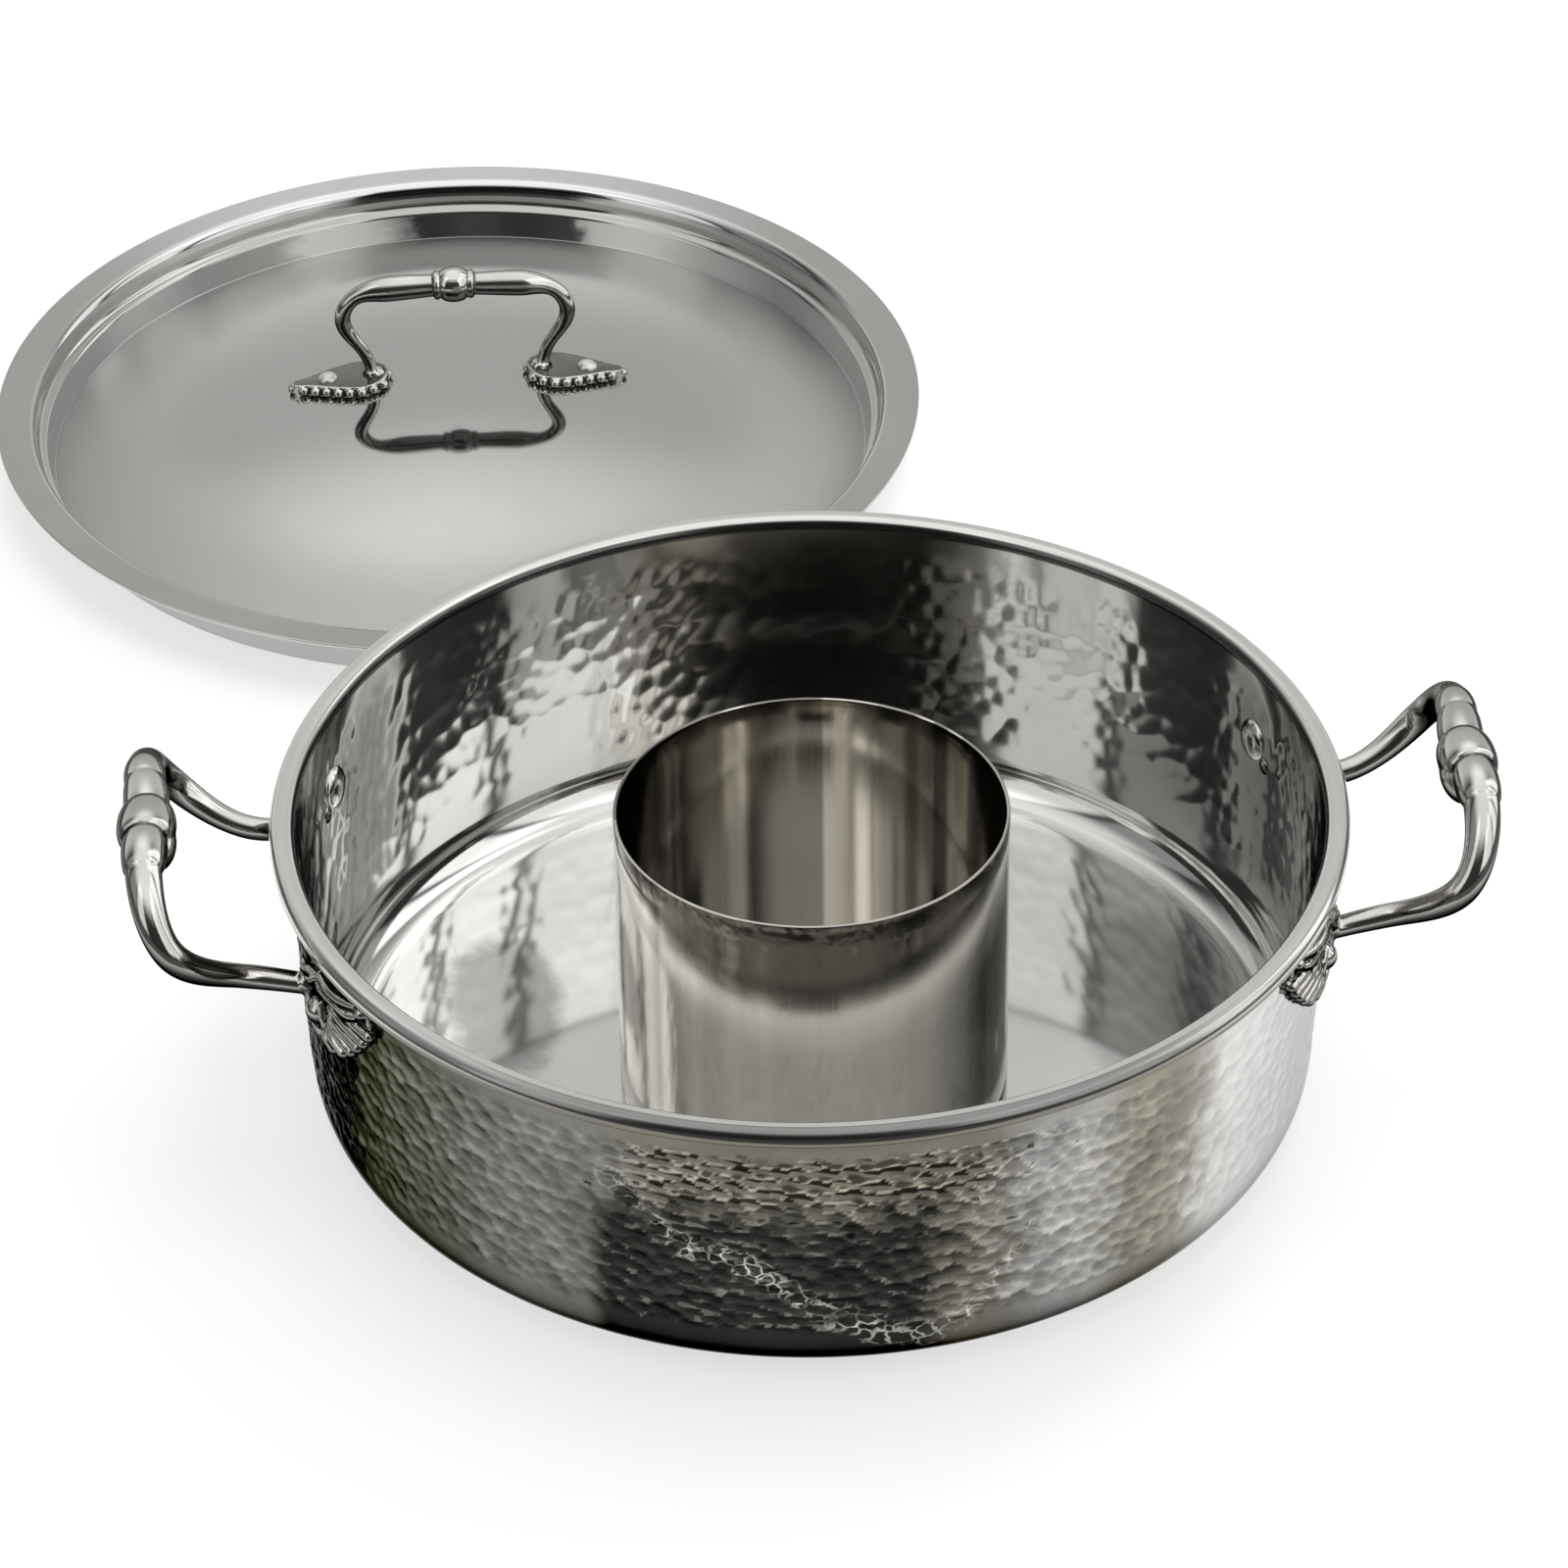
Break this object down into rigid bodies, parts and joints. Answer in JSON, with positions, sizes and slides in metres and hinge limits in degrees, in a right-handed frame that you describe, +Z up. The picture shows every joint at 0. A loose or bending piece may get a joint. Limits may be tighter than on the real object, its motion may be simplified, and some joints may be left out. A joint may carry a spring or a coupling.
{
  "type": "chimney hot pot",
  "caption": "Wide hammered pan with rolled rim, two riveted loop handles on leaf feet, loose inner chimney ring, and a domed lid with arched handle lying beside it.",
  "frame": {"origin": "middle of the pan's flat base, on the table", "axes": "+Z up, X through both side handles of the pan, +Y away from the front, towards the lid's side"},
  "size_m": [0.4315, 0.6411, 0.1064],
  "materials": {
    "hammered_steel": "hammered, polished",
    "core_aluminium": "mill",
    "lining_steel": "polished, satin rim",
    "chimney_steel": "satin, brushed upright",
    "cast_steel": "bright cast, darker hollows",
    "rivet_steel": "polished",
    "lid_steel": "satin mirror"
  },
  "bodies": {
    "pan": {"outer_skin": "hammered_steel", "aluminium_core": "core_aluminium", "inner_lining": "lining_steel", "right_side_handle": "cast_steel", "left_side_handle": "cast_steel", "right_handle_rivets": "rivet_steel", "left_handle_rivets": "rivet_steel"},
    "chimney": {"chimney_ring": "chimney_steel"},
    "lid": {"lid_pan": "lid_steel", "lid_handle": "cast_steel", "lid_handle_rivets": "rivet_steel"}
  },
  "joints": [
    {"name": "chimney_lift", "type": "slide", "parent": "pan", "child": "chimney", "axis": [0, 0, 1], "range_m": [0, 0.12]},
    {"name": "lid_lift", "type": "slide", "parent": "pan", "child": "lid", "axis": [0, 0, 1], "range_m": [0, 0.2]}
  ]
}
